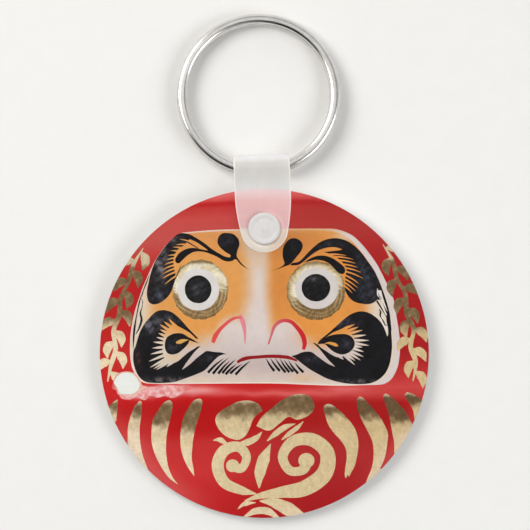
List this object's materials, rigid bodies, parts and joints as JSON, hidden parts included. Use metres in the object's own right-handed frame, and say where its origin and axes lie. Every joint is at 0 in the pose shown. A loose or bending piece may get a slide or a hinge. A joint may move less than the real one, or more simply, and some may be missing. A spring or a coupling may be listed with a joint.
{
  "type": "key fob",
  "caption": "Round laminated picture disc on a snap strap with a split ring; the strap swings on its snap and the ring flips in the strap's loop.",
  "frame": {"origin": "centre of the disc's back face", "axes": "+Z out of the printed face, +Y from the disc towards the ring, +X to the right of the picture"},
  "size_m": [0.0572, 0.0878, 0.0061],
  "materials": {
    "core": "satin white rigid PVC, sawn edge",
    "print": "colour print, mostly red, black and gold",
    "clear_film": "clear gloss film",
    "back_film": "gloss film over white",
    "strap": "translucent white flexible plastic",
    "snap": "white moulded plastic",
    "ring": "bright nickel plating over spring steel"
  },
  "bodies": {
    "disc": {"core_plate": "core", "print_sheet": "print", "front_film": "clear_film", "back_film": "back_film"},
    "strap": {"strap": "strap", "snap_cap": "snap", "snap_socket": "snap"},
    "ring": {"split_ring": "ring"}
  },
  "joints": [
    {"name": "strap_swing", "type": "hinge", "parent": "disc", "child": "strap", "pos_m": [0, 0.02165, 0.00112], "axis": [0, 0, 1], "range_deg": [-27, 22]},
    {"name": "ring_flip", "type": "hinge", "parent": "strap", "child": "ring", "pos_m": [-0.00044, 0.03224, 0.00112], "axis": [0.9991, 0.0419, 0], "range_deg": [-90, 100]}
  ]
}
